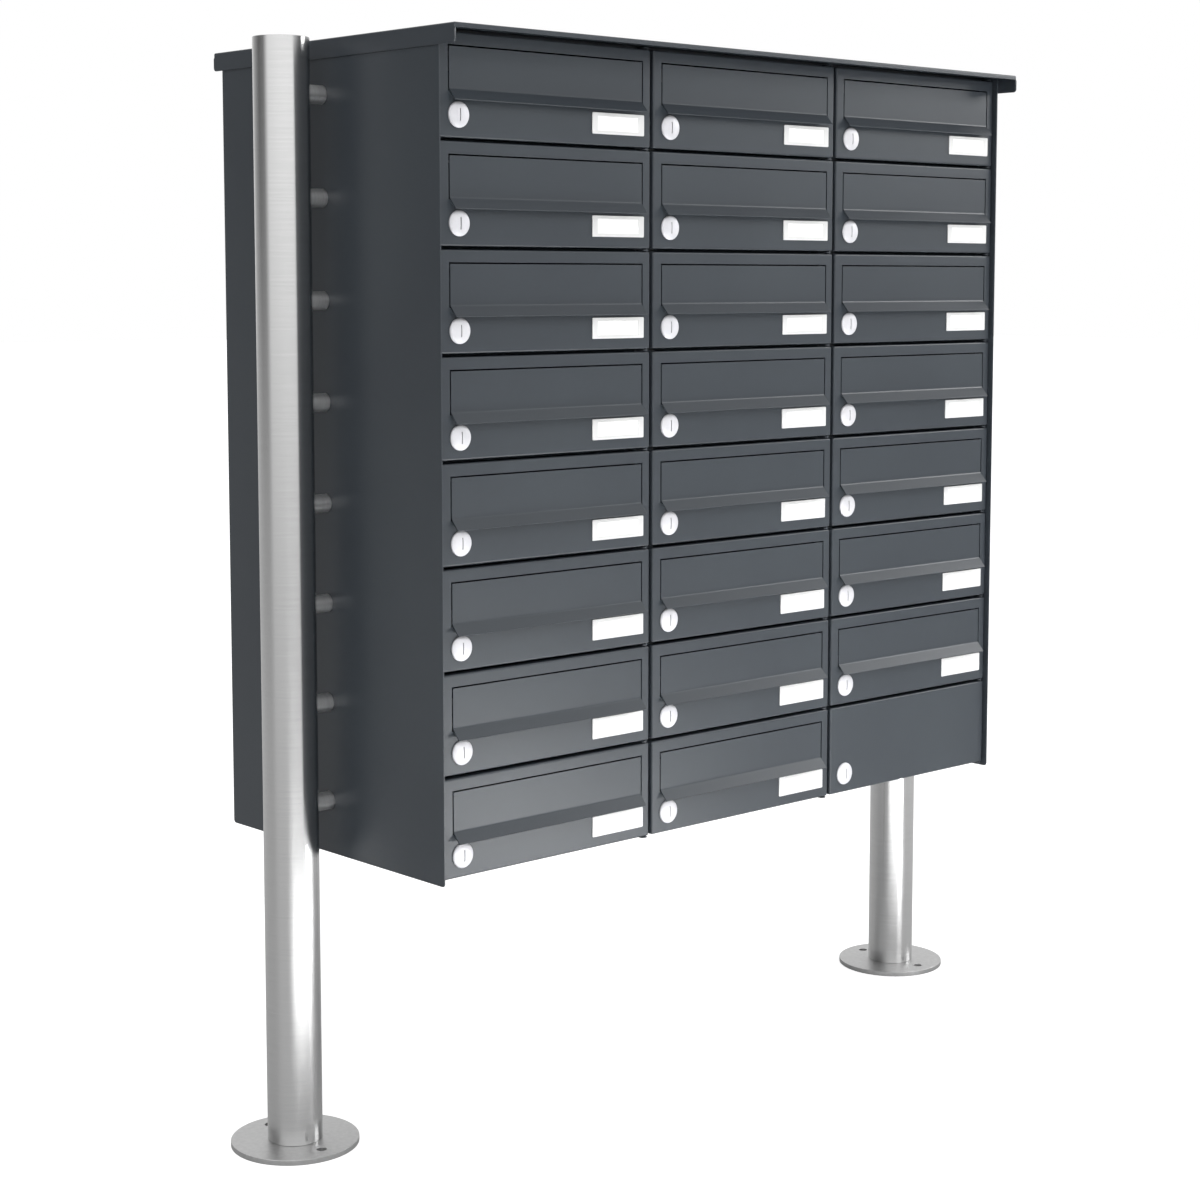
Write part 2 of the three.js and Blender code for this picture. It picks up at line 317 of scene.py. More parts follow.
def make_coat_grain():
    """The fine orange peel of baked powder, with faint clouds of thicker and thinner coat."""
    group, start, end = new_group(
        "coat_grain",
        [
            ("Vector", "NodeSocketVector", None),
            ("Grain Scale", "NodeSocketFloat", 700.0),
            ("Cloud Scale", "NodeSocketFloat", 5.0),
        ],
        [("Height", "NodeSocketFloat"), ("Cloud", "NodeSocketFloat"), ("Speck", "NodeSocketFloat")],
    )
    link = group.links.new
    fine = add(group, "ShaderNodeTexNoise", Detail=2.0, Roughness=0.55)
    link(start.outputs["Vector"], fine.inputs["Vector"])
    link(start.outputs["Grain Scale"], fine.inputs["Scale"])
    peel = add(group, "ShaderNodeTexNoise", Detail=1.0, Roughness=0.4)
    link(start.outputs["Vector"], peel.inputs["Vector"])
    link(maths(group, "MULTIPLY", start.outputs["Grain Scale"], 0.31), peel.inputs["Scale"])
    cloud = add(group, "ShaderNodeTexNoise", Detail=3.0, Roughness=0.5)
    link(start.outputs["Vector"], cloud.inputs["Vector"])
    link(start.outputs["Cloud Scale"], cloud.inputs["Scale"])
    fine_part = maths(group, "MULTIPLY", fine.outputs["Fac"], 0.45)
    peel_part = maths(group, "MULTIPLY", peel.outputs["Fac"], 0.55)
    link(maths(group, "ADD", fine_part, peel_part), end.inputs["Height"])
    link(cloud.outputs["Fac"], end.inputs["Cloud"])
    link(fine.outputs["Fac"], end.inputs["Speck"])
    return group


def make_brush_lines():
    """Fine parallel scratches, drawn out along the directions whose stretch is small."""
    group, start, end = new_group(
        "brush_lines",
        [
            ("Vector", "NodeSocketVector", None),
            ("Stretch", "NodeSocketVector", (1.0, 1.0, 1.0)),
        ],
        [("Height", "NodeSocketFloat"), ("Streak", "NodeSocketFloat")],
    )
    link = group.links.new
    drawn = group.nodes.new("ShaderNodeVectorMath")
    drawn.operation = "MULTIPLY"
    link(start.outputs["Vector"], drawn.inputs[0])
    link(start.outputs["Stretch"], drawn.inputs[1])
    lines = add(group, "ShaderNodeTexNoise", Scale=1.0, Detail=4.0, Roughness=0.65)
    link(drawn.outputs[0], lines.inputs["Vector"])
    coarse = add(group, "ShaderNodeTexNoise", Scale=0.22, Detail=2.0, Roughness=0.5)
    link(drawn.outputs[0], coarse.inputs["Vector"])
    link(lines.outputs["Fac"], end.inputs["Height"])
    link(coarse.outputs["Fac"], end.inputs["Streak"])
    return group


COAT_GRAIN = make_coat_grain()
BRUSH_LINES = make_brush_lines()

# ---- finishes ----


def new_finish(name, **shader_values):
    """A material with its node tree, its shader and the Object coordinates of the piece."""
    material = bpy.data.materials.new(name)
    material.use_nodes = True
    tree = material.node_tree
    shader = tree.nodes["Principled BSDF"]
    for key, value in shader_values.items():
        shader.inputs[key.replace("_", " ")].default_value = value
    place = tree.nodes.new("ShaderNodeTexCoord").outputs["Object"]
    return material, tree, shader, place


def use_group(tree, group, place, **values):
    """Places a shared group in a material with the material's own values."""
    node = tree.nodes.new("ShaderNodeGroup")
    node.node_tree = group
    tree.links.new(place, node.inputs["Vector"])
    for key, value in values.items():
        node.inputs[key.replace("_", " ")].default_value = value
    return node


def ramp(tree, factor, stops):
    """A colour ramp over a factor. Each stop is a position and a grey or a colour."""
    node = tree.nodes.new("ShaderNodeValToRGB")
    tree.links.new(factor, node.inputs["Fac"])
    while len(node.color_ramp.elements) < len(stops):
        node.color_ramp.elements.new(0.5)
    for element, (position, colour) in zip(node.color_ramp.elements, stops):
        shade = (colour,) * 3 if isinstance(colour, float) else colour
        element.position = position
        element.color = (*shade, 1)
    return node.outputs["Color"]


def bump(tree, shader, height, strength, distance):
    """Raises the surface by a height, through the shader's Normal."""
    node = add(tree, "ShaderNodeBump", Strength=strength, Distance=distance)
    tree.links.new(height, node.inputs["Height"])
    tree.links.new(node.outputs["Normal"], shader.inputs["Normal"])


def powder_coat(name, deep, thin):
    """Baked anthracite powder: two close greys in clouds, over a fine orange peel."""
    material, tree, shader, place = new_finish(name)
    grain_node = use_group(tree, COAT_GRAIN, place, Grain_Scale=700.0)
    colour = ramp(tree, grain_node.outputs["Cloud"], [(0.35, deep), (0.68, thin)])
    tree.links.new(colour, shader.inputs["Base Color"])
    gloss = ramp(tree, grain_node.outputs["Speck"], [(0.3, 0.33), (0.7, 0.41)])
    tree.links.new(gloss, shader.inputs["Roughness"])
    bump(tree, shader, grain_node.outputs["Height"], 0.22, 0.05 * MM)
    return material


def brushed_metal(name, dark, light, stretch, rough, strength, **shader_values):
    """Metal with a grind drawn out where the stretch is small, or a satin one where it is even."""
    material, tree, shader, place = new_finish(name, **{"Metallic": 1.0, **shader_values})
    lines = use_group(tree, BRUSH_LINES, place, Stretch=stretch)
    colour = ramp(tree, lines.outputs["Streak"], [(0.3, dark), (0.7, light)])
    tree.links.new(colour, shader.inputs["Base Color"])
    gloss = ramp(tree, lines.outputs["Height"], [(0.3, rough[0]), (0.7, rough[1])])
    tree.links.new(gloss, shader.inputs["Roughness"])
    bump(tree, shader, lines.outputs["Height"], strength, 0.03 * MM)
    return material


def moulded(name, dark, light, rough):
    """Moulded plastic or card with a fine even grain."""
    material, tree, shader, place = new_finish(name)
    grain_node = use_group(tree, COAT_GRAIN, place, Grain_Scale=900.0, Cloud_Scale=30.0)
    colour = ramp(tree, grain_node.outputs["Cloud"], [(0.3, dark), (0.7, light)])
    tree.links.new(colour, shader.inputs["Base Color"])
    gloss = ramp(tree, grain_node.outputs["Speck"], [(0.3, rough[0]), (0.7, rough[1])])
    tree.links.new(gloss, shader.inputs["Roughness"])
    bump(tree, shader, grain_node.outputs["Height"], 0.08, 0.02 * MM)
    return material


# The fineness of each grind along X, Y and Z: low along its scratches and high across them.
GRIND_ROUND_Z = (60.0, 60.0, 2200.0)
GRIND_ROUND_X = (2200.0, 60.0, 60.0)
FINE_SATIN = (900.0, 900.0, 900.0)
COARSE_SATIN = (500.0, 500.0, 500.0)

COAT = powder_coat("anthracite_powder_coat", (0.033, 0.040, 0.049), (0.038, 0.046, 0.055))
POST_STEEL = brushed_metal(
    "ground_tube_steel",
    0.60,
    0.64,
    GRIND_ROUND_Z,
    (0.20, 0.25),
    0.03,
    Anisotropic=0.8,
    Anisotropic_Rotation=0.25,
)
around_post = add(POST_STEEL.node_tree, "ShaderNodeTangent", direction_type="RADIAL", axis="Z")
POST_STEEL.node_tree.links.new(
    around_post.outputs["Tangent"], POST_STEEL.node_tree.nodes["Principled BSDF"].inputs["Tangent"]
)
PLATE_STEEL = brushed_metal("satin_plate_steel", 0.49, 0.54, FINE_SATIN, (0.38, 0.46), 0.04)
STUD_STEEL = brushed_metal("turned_stud_steel", 0.72, 0.80, GRIND_ROUND_X, (0.38, 0.46), 0.06)
NICKEL = brushed_metal(
    "satin_nickel",
    (0.66, 0.66, 0.69),
    (0.70, 0.70, 0.73),
    FINE_SATIN,
    (0.46, 0.54),
    0.04,
    Metallic=0.35,
)
ZINC = brushed_metal("zinc_plate", 0.42, 0.52, COARSE_SATIN, (0.32, 0.5), 0.1)
FRAME_PLASTIC = moulded("name_frame_plastic", (0.70, 0.70, 0.70), (0.74, 0.74, 0.74), (0.28, 0.36))
LABEL_CARD = moulded("blank_label_card", (0.93, 0.93, 0.93), (0.97, 0.97, 0.97), (0.5, 0.6))
# Painted shade: a near-black finish for the shade under each lock cap and inside its key slot.
SHADE_BLACK = moulded(
    "shade_painted_black", (0.012, 0.012, 0.013), (0.018, 0.018, 0.02), (0.35, 0.45)
)


def finish_piece(piece, material, body, slot, *nodes):
    """Sets the finish, the body the piece moves with and the CAD nodes it stands for."""
    piece.data.materials.clear()
    piece.data.materials.append(material)
    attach(piece, body)
    if nodes:
        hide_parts(*nodes)
    return piece


# ---- camera ----

CAMERA_PLACE = (-1.9061, -2.0316, 0.9479)  # to the front left, at the height of the third row
CAMERA_TILT = 84.4  # degrees up from straight down
CAMERA_TURN = -42.289  # degrees round from facing the rear, towards the right
LENS, SENSOR = 68.77, 36  # millimetres
SHIFT_DOWN = -0.0783  # of the width of the picture


def make_camera():
    """The camera, tilted a little and shifted for the rest, so that the posts stay nearly upright."""
    data = bpy.data.cameras.new("camera")
    camera = bpy.data.objects.new("camera", data)
    bpy.context.scene.collection.objects.link(camera)
    camera.location = CAMERA_PLACE
    camera.rotation_euler = (math.radians(CAMERA_TILT), 0, math.radians(CAMERA_TURN))
    data.lens = LENS
    data.sensor_width = SENSOR
    data.shift_y = SHIFT_DOWN
    bpy.context.scene.camera = camera


make_camera()

# ---- the first cell, where the repeated pieces are modelled ----

service_low, service_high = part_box(SERVICE_DOOR)
DOOR_DEPTH = service_high.y - service_low.y
first_door_low, first_door_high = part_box("door_left_1")
CELL = Vector((first_door_low.x - DOOR_SIDE_GAP, service_low.y, first_door_high.z + DOOR_END_GAP))
PITCH = (CELL.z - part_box("left_carcass")[0].z - SHEET / 2) / ROWS  # from one row to the next


def in_cell(x, y, z):
    """A place in the first cell, from its top left corner at the face of the doors."""
    return CELL + Vector((x, y, z))


# ---- doors ----

PIN_HOLE_R = 1.7 * MM
LOCK_HOLE_R = 9.8 * MM
DRILL_PAST = 5 * MM  # how far the drill for the lock reaches in front of and behind the face

EAR_GAP, EAR_W = 0.5 * MM, 1.2 * MM  # beside the mail slot
EAR_FRONT, EAR_REAR = SHEET * 0.9, 6.6 * MM
EAR_TOP, EAR_BOTTOM = -14.5 * MM, -24.5 * MM
EAR_ROUND = 2.4 * MM
EAR_HOLE_R = 1.1 * MM


def rod_back(name, centre, near_y, far_y, radius, sides=48):
    """A cylinder that runs straight back between two depths, measured from a place on the face."""
    start = centre + Vector((0, near_y, 0))
    end = centre + Vector((0, far_y, 0))
    return rod(name, start, end, radius, sides)


def door_pan(name, node):
    """The flat face of a door, with its two corners and the test for a point on its rim."""
    low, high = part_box(node)
    low.y, high.y = service_low.y, service_high.y
    pan = upright_sheet(name, low, high)

    def on_rim(point):
        at_side = near(point.x, low.x) or near(point.x, high.x)
        at_end = near(point.z, low.z) or near(point.z, high.z)
        return at_side or at_end

    return pan, low, high, on_rim


def fold_sides(pan, low, on_rim):
    """Folds the four sides of a door back, with a rounded bend along each edge and corner."""

    def is_bend(edge):
        depths = [corner.co.y for corner in edge.verts]
        at_face = all(near(depth, low.y) for depth in depths)
        at_back = all(near(depth, low.y + DOOR_DEPTH) for depth in depths)
        return on_rim(middle(edge)) and not at_back and (at_face or is_corner(edge))

    with editing(pan):
        pick(pan, "EDGE", lambda edge: on_rim(middle(edge)))
        pull((0, DOOR_DEPTH, 0))
        pick(pan, "EDGE", is_bend)
        bpy.ops.mesh.bevel(offset=DOOR_BEND, segments=5, affect="EDGES")
    face_out(pan)


def is_corner(edge):
    """True for an edge along the depth that joins two folded sides at a right angle."""
    if not runs_along(edge, "y") or len(edge.link_faces) != 2:
        return False
    return edge.link_faces[0].normal.angle(edge.link_faces[1].normal, 0) > 1


def pin_drills(low, high, cell_left, face_y):
    """Cutters for the two hinge-pin holes in the ends of a door."""
    x, y = cell_left + DOOR_AXIS_X, face_y + DOOR_AXIS_Y
    return [
        rod("pin_drill", (x, y, z - 2 * MM), (x, y, z + 2 * MM), PIN_HOLE_R, 16)
        for z in (low.z, high.z)
    ]


def lock_drill(cell_left, face_y, cell_top):
    """The cutter for the hole that a lock's barrel goes through."""
    centre = Vector((cell_left + LOCK_X, face_y, cell_top + LOCK_Z))
    return rod_back("lock_drill", centre, -DRILL_PAST, DRILL_PAST, LOCK_HOLE_R)


def hinge_ear(name, x):
    """A small lug behind the face that holds one end of the flap's hinge wire."""
    low = in_cell(x, EAR_FRONT, EAR_BOTTOM)
    high = in_cell(x + EAR_W, EAR_REAR, EAR_TOP)
    ear = block(name, low, high)
    with editing(ear):
        pick(ear, "EDGE", lambda edge: runs_along(edge, "x") and near(middle(edge).y, high.y))
        bpy.ops.mesh.bevel(offset=EAR_ROUND, segments=5, affect="EDGES")
    start = in_cell(x - MM, FLAP_AXIS_Y, FLAP_AXIS_Z)
    end = in_cell(x + EAR_W + MM, FLAP_AXIS_Y, FLAP_AXIS_Z)
    drill(ear, [rod("ear_drill", start, end, EAR_HOLE_R, 16)])
    soften(ear, 0.12 * MM)
    return ear


def letterbox_door(name):
    """A tray folded from sheet, with a mail slot, a lock hole and the two ears of its flap."""
    pan, low, high, on_rim = door_pan(name, "door_left_1")
    left, right = CELL.x + SLOT_LEFT, CELL.x + SLOT_RIGHT
    top, bottom = CELL.z - SLOT_TOP, CELL.z - SLOT_BOTTOM

    def in_slot(face):
        return left < middle(face).x < right and bottom < middle(face).z < top

    with editing(pan):
        for x in (left, right):
            cut(pan, (x, 0, 0), (1, 0, 0))
        for z in (top, bottom):
            cut(pan, (0, 0, z), (0, 0, 1))
        pick(pan, "FACE", in_slot)
        bpy.ops.mesh.delete(type="FACE")
    fold_sides(pan, low, on_rim)
    thicken(pan, SHEET)
    drill(pan, [lock_drill(CELL.x, CELL.y, CELL.z), *pin_drills(low, high, CELL.x, CELL.y)])
    soften(pan)
    left_ear = hinge_ear("left_ear", SLOT_LEFT - EAR_GAP - EAR_W)
    right_ear = hinge_ear("right_ear", SLOT_RIGHT + EAR_GAP)
    return join([pan, left_ear, right_ear], name)


def service_door(name):
    """The same tray without a mail slot."""
    pan, low, high, on_rim = door_pan(name, SERVICE_DOOR)
    cell_left, cell_top = low.x - DOOR_SIDE_GAP, high.z + DOOR_END_GAP
    fold_sides(pan, low, on_rim)
    thicken(pan, SHEET)
    drill(pan, [lock_drill(cell_left, low.y, cell_top), *pin_drills(low, high, cell_left, low.y)])
    soften(pan)
    return pan


# ---- flaps ----

HINGE_TUBE_R = 1.75 * MM
HINGE_WIRE_R = 0.9 * MM
WIRE_PAST = 2.4 * MM  # how far the wire reaches past the slot, through the ears


def mail_flap(name):
    """A flush plate with a lip turned out at its foot, and a hinge tube and wire at its head."""
    low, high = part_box("flap_left_1")
    face = CELL.y
    bend_z = high.z - FLAP_PLATE_H
    plate = upright_sheet(name, Vector((low.x, face, bend_z)), Vector((high.x, face, high.z)))
    with editing(plate):
        pick(plate, "EDGE", lambda edge: near(middle(edge).z, bend_z))
        pull(FLAP_LIP)
        pick(plate, "EDGE", lambda edge: near(middle(edge).z, bend_z))
        bpy.ops.mesh.bevel(offset=FLAP_BEND, segments=5, affect="EDGES")
    thicken(plate, SHEET)
    soften(plate)
    axis_y, axis_z = CELL.y + FLAP_AXIS_Y, CELL.z + FLAP_AXIS_Z
    tube_start, tube_end = (low.x + MM, axis_y, axis_z), (high.x - MM, axis_y, axis_z)
    tube = rod("hinge_tube", tube_start, tube_end, HINGE_TUBE_R, 24)
    soften(tube, 0.3 * MM)
    wire_start = in_cell(SLOT_LEFT - WIRE_PAST, FLAP_AXIS_Y, FLAP_AXIS_Z)
    wire_end = in_cell(SLOT_RIGHT + WIRE_PAST, FLAP_AXIS_Y, FLAP_AXIS_Z)
    wire = rod("hinge_wire", wire_start, wire_end, HINGE_WIRE_R, 16)
    soften(wire, 0.25 * MM)
    return join([plate, tube, wire], name)


# ---- locks ----

CAP_R = 13.4 * MM
CAP_RISE = 3.0 * MM
CAP_RIM = 0.9 * MM
CAP_BACK = -0.3 * MM  # the gap between the cap and the door, filled by a black ring of painted shade
KEY_W, KEY_H, KEY_DEPTH = 1.3 * MM, 12.6 * MM, 1.5 * MM
KEY_WAY_THICK = 0.6 * MM
BARREL_R, BARREL_END = 9.5 * MM, 15.4 * MM
NUT_R, NUT_H = 13.2 * MM, 3 * MM
CAM_START, CAM_END = 15.5 * MM, 17.5 * MM
CAM_HALF_W, CAM_UP, CAM_DOWN = 5 * MM, 5 * MM, 22 * MM
CAM_ROUND = 3.6 * MM
CAM_SCREW_R, CAM_SCREW_END = 3.4 * MM, 19.5 * MM


def lock_cap(name, centre):
    """A domed cap with a slot for the key. `centre` is on the face of the door."""
    rim_y = centre.y + CAP_BACK - CAP_RIM
    deselect()
    bpy.ops.mesh.primitive_uv_sphere_add(
        segments=64, ring_count=32, radius=CAP_R, location=centre, rotation=(QUARTER, 0, 0)
    )
    cap = named(name)
    cap.scale = (1, 1, CAP_RISE / CAP_R)
    cap.location.y = rim_y
    settle(cap)
    with editing(cap):
        bpy.ops.mesh.select_all(action="SELECT")
        bpy.ops.mesh.bisect(plane_co=(0, rim_y, 0), plane_no=(0, 1, 0), clear_outer=True)
    with editing(cap):
        pick(cap, "EDGE", lambda edge: edge.is_boundary)
        pull((0, CAP_RIM, 0))
        bpy.ops.mesh.edge_face_add()
    face_out(cap)
    slot = block(
        "key_cutter",
        (centre.x - KEY_W / 2, rim_y - CAP_RISE - MM, centre.z - KEY_H / 2),
        (centre.x + KEY_W / 2, rim_y - CAP_RISE + KEY_DEPTH, centre.z + KEY_H / 2),
    )
    drill(cap, [slot])
    smooth(cap, 40)
    return cap


def lock_painted_shade(name, centre):
    """Black pieces of painted shade: a ring for the shade under the cap, and the key way behind its
    slot, painted black for the shade inside the slot.
    """
    # A black ring of painted shade under the cap.
    painted_shade = rod_back("painted_shade", centre, -HAIR, CAP_BACK + HAIR, CAP_R - 0.4 * MM)
    # A black block behind the key slot, painted for the shade inside the slot.
    shaded_key_way_y = centre.y + CAP_BACK - CAP_RIM - CAP_RISE + KEY_DEPTH
    half_w, half_h = KEY_W / 2 - 0.03 * MM, KEY_H / 2 - 0.05 * MM
    shaded_key_way = block(
        "shaded_key_way",
        (centre.x - half_w, shaded_key_way_y - KEY_WAY_THICK, centre.z - half_h),
        (centre.x + half_w, shaded_key_way_y - HAIR, centre.z + half_h),
    )
    return join([painted_shade, shaded_key_way], name)


def lock_works(name, centre):
    """The barrel, its nut, the cam and the cam's screw, behind the door."""
    barrel = rod_back("barrel", centre, HAIR, BARREL_END, BARREL_R)
    soften(barrel, 0.5 * MM)
    nut_start = SHEET + 0.05 * MM
    nut = rod_back("nut", centre, nut_start, nut_start + NUT_H, NUT_R, 6)
    soften(nut, 0.5 * MM)
    cam = block(
        "cam",
        (centre.x - CAM_HALF_W, centre.y + CAM_START, centre.z - CAM_DOWN),
        (centre.x + CAM_HALF_W, centre.y + CAM_END, centre.z + CAM_UP),
    )
    with editing(cam):
        pick(cam, "EDGE", lambda edge: runs_along(edge, "y"))
        bpy.ops.mesh.bevel(offset=CAM_ROUND, segments=5, affect="EDGES")
    soften(cam, 0.2 * MM)
    screw = rod_back("cam_screw", centre, CAM_END, CAM_SCREW_END, CAM_SCREW_R, 24)
    soften(screw, 0.6 * MM, 3)
    return join([barrel, nut, cam, screw], name)


# ---- name plates ----

FRAME_ROUND, FRAME_SUNK = 1.2 * MM, 0.6 * MM
LABEL_MARGIN = 0.15 * MM  # between the label and the frame
LABEL_FRONT, LABEL_REAR = -NAME_PROUD + 0.35 * MM, -NAME_PROUD + 0.59 * MM
LABEL_ROUND = 0.8 * MM


def name_frame(name):
    """A moulded frame with a sunk field for the label."""
    low = in_cell(NAME_LEFT, -NAME_PROUD, -NAME_BOTTOM)
    high = in_cell(NAME_RIGHT, -HAIR, -NAME_TOP)
    plate = block(name, low, high)
    left, right = low.x + LABEL_SIDE, high.x - LABEL_SIDE
    bottom, top = low.z + LABEL_END, high.z - LABEL_END

    def in_field(face):
        at_front = near(middle(face).y, low.y)
        return at_front and left < middle(face).x < right and bottom < middle(face).z < top

    with editing(plate):
        pick(plate, "EDGE", lambda edge: runs_along(edge, "y"))
        bpy.ops.mesh.bevel(offset=FRAME_ROUND, segments=5, affect="EDGES")
        for x in (left, right):
            cut(plate, (x, 0, 0), (1, 0, 0))
        for z in (bottom, top):
            cut(plate, (0, 0, z), (0, 0, 1))
        pick(plate, "FACE", in_field)
        pull((0, FRAME_SUNK, 0))
    face_out(plate)
    soften(plate, 0.18 * MM, 2)
    return plate


def name_label(name):
    """A blank white card that lies in the sunk field of its frame."""
    in_from_side, in_from_end = LABEL_SIDE + LABEL_MARGIN, LABEL_END + LABEL_MARGIN
    low = in_cell(NAME_LEFT + in_from_side, LABEL_FRONT, -NAME_BOTTOM + in_from_end)
    high = in_cell(NAME_RIGHT - in_from_side, LABEL_REAR, -NAME_TOP - in_from_end)
    card = block(name, low, high)
    with editing(card):
        pick(card, "EDGE", lambda edge: runs_along(edge, "y"))
        bpy.ops.mesh.bevel(offset=LABEL_ROUND, segments=4, affect="EDGES")
    soften(card, 0.05 * MM, 2)
    return card


# ---- the fronts, copied from the first cell to the others ----


def build_fronts():
    """Copies the pieces of the first cell to every cell, and makes the service door."""
    door = letterbox_door("door_master")
    flap = mail_flap("flap_master")
    centre = in_cell(LOCK_X, 0, LOCK_Z)
    cap = lock_cap("cap_master", centre)
    painted_shade = lock_painted_shade("painted_shade_master", centre)
    works = lock_works("works_master", centre)
    frame_plate = name_frame("name_frame_master")
    label = name_label("name_label_master")
    masters = [door, flap, cap, painted_shade, works, frame_plate, label]
    for column in COLUMNS:
        for row in range(1, ROWS + 1):
            spot = f"{column}_{row}"
            node = f"door_{spot}"
            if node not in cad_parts:
                continue
            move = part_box(node)[0] - first_door_low
            for master, piece_name, material, body, slot, stands_for in (
                (door, f"door_leaf_{spot}", COAT, node, "powder_coat", [node]),
                (flap, f"mail_flap_{spot}", COAT, f"flap_{spot}", "powder_coat", [f"flap_{spot}"]),
                (cap, f"lock_cap_{spot}", NICKEL, node, "lock_nickel", []),
                # black ring and key way of painted shade at the lock
                (painted_shade, f"lock_painted_shade_{spot}", SHADE_BLACK, node, "dark_fitting", []),
                (works, f"lock_works_{spot}", ZINC, node, "zinc_fitting", []),
                (frame_plate, f"name_frame_{spot}", FRAME_PLASTIC, node, "plate_frame", []),
                (label, f"name_label_{spot}", LABEL_CARD, node, "name_label", []),
            ):
                piece = copy_piece(master, piece_name, move)
                finish_piece(piece, material, body, slot, *stands_for)
    service_move = Vector((service_low.x - first_door_low.x, 0, service_low.z - first_door_low.z))
    leaf = service_door("service_door_leaf")
    finish_piece(leaf, COAT, SERVICE_DOOR, "powder_coat", SERVICE_DOOR)
    for master, piece_name, material, slot, stands_for in (
        (cap, "service_lock_cap", NICKEL, "lock_nickel", [SERVICE_LOCK]),
        (works, "service_lock_works", ZINC, "zinc_fitting", []),
        # black ring and key way of painted shade at the lock
        (painted_shade, "service_lock_painted_shade", SHADE_BLACK, "dark_fitting", []),
    ):
        piece = copy_piece(master, piece_name, service_move)
        finish_piece(piece, material, SERVICE_LOCK, slot, *stands_for)
    for master in masters:
        bpy.data.objects.remove(master)


build_fronts()

# ---- boxes ----

BOX_SET_BACK = 12 * MM  # the mouth of a box behind the face of its door
BOX_FLANGE = 12 * MM
BOX_GAP = 0.25 * MM  # above and below each box
TAB_LEFT, TAB_RIGHT = 289 * MM, 297.2 * MM
TAB_HALF, TAB_ROUND = 0.6 * MM, 2.4 * MM
PIN_R, PIN_REACH = 1.25 * MM, 5.5 * MM  # a pin reaches this far up and down from its tab


def is_fold(edge):
    """True for an edge where two faces of a shell meet at about a right angle."""
    return edge.is_manifold and edge.calc_face_angle(0) > 1


def single_box(name, low, high):
    """One letterbox body: a sleeve with a back, and a narrow flange at each side of its mouth."""

    def at_mouth(edge, side):
        return near(middle(edge).y, low.y) and near(middle(edge).x, side)

    shell = block(name, low, high)
    with editing(shell):
        pick(shell, "FACE", lambda face: near(middle(face).y, low.y))
        bpy.ops.mesh.delete(type="FACE")
    for side, inward in ((low.x, BOX_FLANGE), (high.x, -BOX_FLANGE)):
        with editing(shell):
            pick(shell, "EDGE", lambda edge: at_mouth(edge, side))
            pull((inward, 0, 0))
    with editing(shell):
        pick(shell, "EDGE", is_fold)
        bpy.ops.mesh.bevel(offset=BOX_BEND, segments=3, affect="EDGES")
    face_out(shell)
    thicken(shell, BOX_SHEET)
    soften(shell, 0.18 * MM, 1)
    return shell


def hinge_tabs(column_low, cell_left, tops):
    """The tabs between the doors, each with the pin that two doors turn on."""
    tabs = []
    front, rear = CELL.y + MM, column_low.y + MM
    x, y = cell_left + DOOR_AXIS_X, CELL.y + DOOR_AXIS_Y
    for index, z in enumerate(tops):
        low = (cell_left + TAB_LEFT, front, z - TAB_HALF)
        high = (cell_left + TAB_RIGHT, rear, z + TAB_HALF)
        tab = block("tab", low, high)
        with editing(tab):
            pick(tab, "EDGE", lambda edge: runs_along(edge, "z") and near(middle(edge).y, front))
            bpy.ops.mesh.bevel(offset=TAB_ROUND, segments=5, affect="EDGES")
        soften(tab, 0.15 * MM)
        up = PIN_REACH if index > 0 else TAB_HALF
        down = PIN_REACH if index < len(tops) - 1 else TAB_HALF
        pin = rod("pin", (x, y, z - down), (x, y, z + up), PIN_R, 20)
        soften(pin, 0.3 * MM)
        tabs += [tab, pin]
    return tabs


def build_boxes():
    """Makes each column one piece: its boxes, its hinge tabs and the upstand under the roof."""
    top = CELL.z
    for index, column in enumerate(COLUMNS):
        node = f"{column}_carcass"
        low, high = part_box(node)
        cell_left = CELL.x + index * (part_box("door_middle_1")[0].x - first_door_low.x)
        box_low = Vector((low.x, CELL.y + BOX_SET_BACK, top - PITCH + BOX_GAP))
        box_high = Vector((high.x, high.y, top - BOX_GAP))
        master = single_box("box_master", box_low, box_high)
        pieces = [copy_piece(master, f"box_{row}", (0, 0, -row * PITCH)) for row in range(ROWS)]
        bpy.data.objects.remove(master)
        tops = [top - row * PITCH for row in range(ROWS + 1)]
        pieces += hinge_tabs(box_low, cell_left, tops)
        upstand_low = (low.x, box_low.y, top - SHEET / 2)
        upstand = block("upstand", upstand_low, (high.x, box_low.y + SHEET, high.z))
        soften(upstand, 0.2 * MM)
        column_piece = join([*pieces, upstand], f"{column}_boxes")
        finish_piece(column_piece, COAT, "stand", "powder_coat", node)


build_boxes()

# ---- casing ----

STUD_HOLE_R = STUD_R + 0.3 * MM
ROOF_LIP = 5 * MM  # the shallow folds at the front and rear


def middle_of(node):
    """The middle of a CAD node's box."""
    low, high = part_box(node)
    return (low + high) / 2


def stud_heights():
    """One stud in the middle of each row of boxes."""
    return [CELL.z - (row + 0.5) * PITCH for row in range(ROWS)]


def side_panel(name, node):
    """A flat sheet with rounded corners and a hole for each spacer stud."""
    low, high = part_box(node)
    panel = block(name, low, high)
    with editing(panel):
        pick(panel, "EDGE", lambda edge: runs_along(edge, "x"))
        bpy.ops.mesh.bevel(offset=CORNER_R, segments=8, affect="EDGES")
    post_y = middle_of("left_post").y
    holes = [
        rod("stud_drill", (low.x - MM, post_y, z), (high.x + MM, post_y, z), STUD_HOLE_R, 48)
        for z in stud_heights()
    ]
    drill(panel, holes)
    soften(panel, 0.3 * MM, 3)
    return panel


